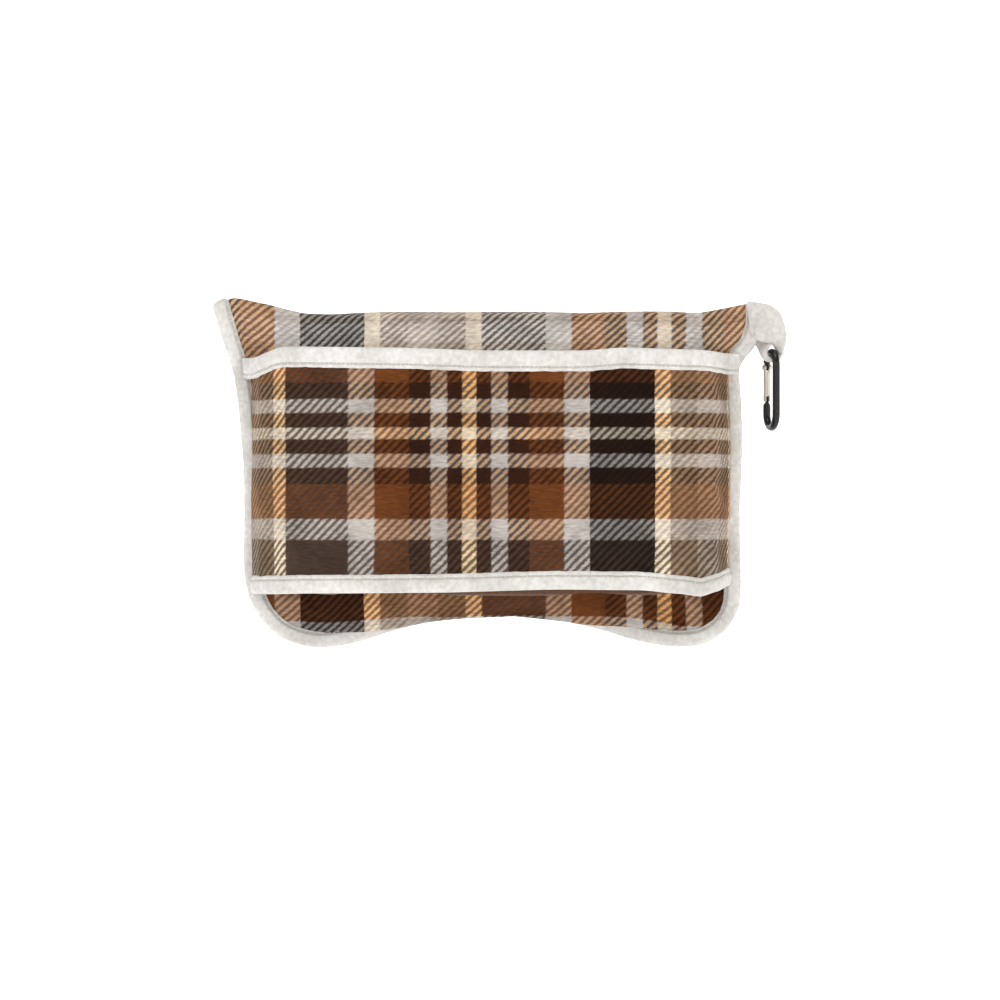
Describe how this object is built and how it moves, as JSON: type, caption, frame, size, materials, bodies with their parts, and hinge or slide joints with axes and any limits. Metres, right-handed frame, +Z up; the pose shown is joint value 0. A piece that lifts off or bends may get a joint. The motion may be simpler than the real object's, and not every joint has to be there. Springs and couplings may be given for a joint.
{
  "type": "travel blanket pillow",
  "caption": "Rectangular plush travel pillow case holding a folded blanket, with a zip, a luggage sleeve across the front and a strap loop carrying a snap hook.",
  "frame": {"origin": "middle of the sleeve's passage, between the case and the sleeve panel", "axes": "+X to the right of the sleeve side, -Y towards the sleeve side, +Z up towards the folded ridge"},
  "size_m": [0.4654, 0.1139, 0.2819],
  "materials": {
    "plaid_plush": "brown, rust and cream printed plaid plush",
    "white_plush": "white plush",
    "blanket_fleece": "brown fleece",
    "thread": "off-white sewing thread",
    "zip_nylon": "cream woven nylon",
    "nickelled_zinc": "satin nickel",
    "black_anodised_aluminium": "glossy black anodised",
    "bare_aluminium": "bare satin"
  },
  "bodies": {
    "cover": {"front_panel": "plaid_plush", "back_panel": "plaid_plush", "sleeve_panel": "plaid_plush", "edge_binding": "white_plush", "sleeve_top_binding": "white_plush", "sleeve_bottom_binding": "white_plush", "folded_blanket": "blanket_fleece", "binding_stitch": "thread", "sleeve_top_stitch": "thread", "sleeve_bottom_stitch": "thread", "zip_stitch_upper": "thread", "zip_stitch_lower": "thread", "loop_stitch": "thread", "zipper_tape_upper": "zip_nylon", "zipper_tape_lower": "zip_nylon", "zipper_coil_upper": "zip_nylon", "zipper_coil_lower": "zip_nylon", "zipper_top_stop_upper": "nickelled_zinc", "zipper_top_stop_lower": "nickelled_zinc", "zipper_bottom_stop": "nickelled_zinc"},
    "zip_slider": {"zipper_slider": "nickelled_zinc"},
    "zip_pull": {"zipper_pull": "nickelled_zinc"},
    "loop": {"hang_loop": "white_plush"},
    "carabiner": {"carabiner_body": "black_anodised_aluminium", "gate_rivet": "bare_aluminium"},
    "gate": {"carabiner_gate": "bare_aluminium", "gate_latch_pin": "bare_aluminium", "spring_plunger": "bare_aluminium", "gate_spring": "bare_aluminium"}
  },
  "joints": [
    {"name": "zip_slide", "type": "slide", "parent": "cover", "child": "zip_slider", "axis": [1, 0, 0], "range_m": [-0.272, 0]},
    {"name": "zip_pull_swing", "type": "hinge", "parent": "zip_slider", "child": "zip_pull", "pos_m": [0.136, 0.08013, 0.11283], "axis": [0, 0.5428, -0.8398], "range_deg": [0, 165]},
    {"name": "loop_swing", "type": "hinge", "parent": "cover", "child": "loop", "pos_m": [0.2162, 0.055, 0.1205], "axis": [0, 0, 1], "range_deg": [-20, 20], "stiffness_Nm_per_rad": 0.02},
    {"name": "carabiner_swing", "type": "hinge", "parent": "loop", "child": "carabiner", "pos_m": [0.22672, 0.05822, 0.096], "axis": [0.2924, -0.9563, 0], "range_deg": [-8, 80]},
    {"name": "gate_swing", "type": "hinge", "parent": "carabiner", "child": "gate", "pos_m": [0.2235, 0.06874, 0.084], "axis": [0.9563, 0.2924, 0], "range_deg": [-22, 0], "stiffness_Nm_per_rad": 0.02, "springref_deg": 28.65}
  ]
}
